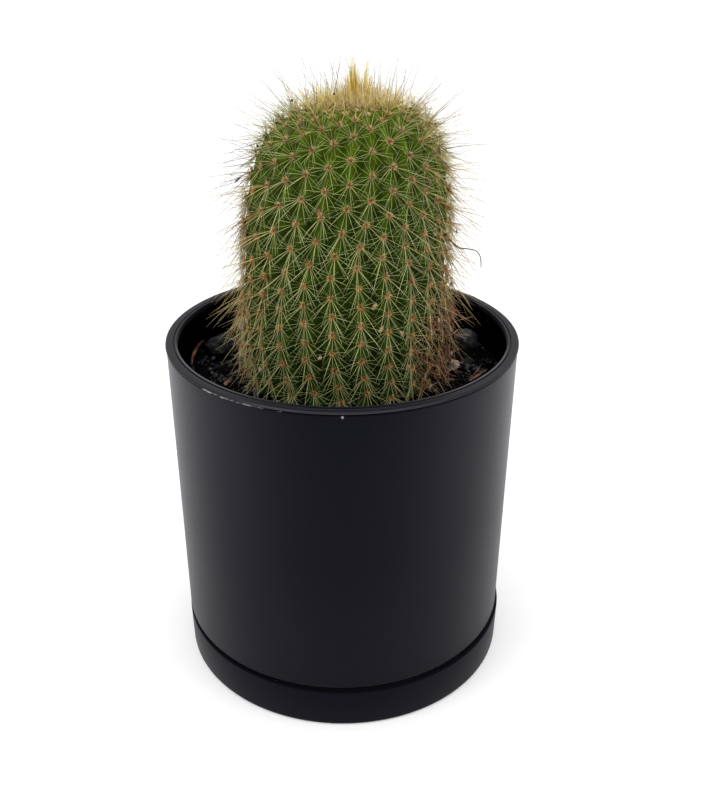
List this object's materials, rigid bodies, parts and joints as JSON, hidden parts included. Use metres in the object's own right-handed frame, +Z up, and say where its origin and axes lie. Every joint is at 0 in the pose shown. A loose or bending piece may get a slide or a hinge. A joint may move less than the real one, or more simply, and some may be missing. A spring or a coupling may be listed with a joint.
{
  "type": "potted golden ball cactus",
  "caption": "Columnar ribbed cactus with golden spines in a liner pot, set in a plain charcoal cylinder pot on a flush saucer.",
  "frame": {"origin": "middle of the saucer's underside, on the pot's axis", "axes": "+Z up along the pot's axis, -Y towards the viewer in the picture, +X to the viewer's right"},
  "size_m": [0.135, 0.135, 0.2392],
  "materials": {
    "charcoal_shell": "satin-matte charcoal",
    "liner_black": "satin black",
    "potting_mix": "coarse gritty mix of peat, bark and grit",
    "cactus_skin": "waxy green skin with pale gold spines",
    "dark_stone": "rough dark grey",
    "perlite": "porous white",
    "bark": "dry fibrous"
  },
  "bodies": {
    "root": {"saucer": "charcoal_shell", "outer_pot": "charcoal_shell", "grow_pot": "liner_black", "soil": "potting_mix", "cactus": "cactus_skin", "stone_left": "dark_stone", "stone_right": "dark_stone", "pebble_right": "dark_stone", "perlite_right": "perlite", "bark_strip_left": "bark", "bark_chip_right": "bark"}
  },
  "joints": []
}
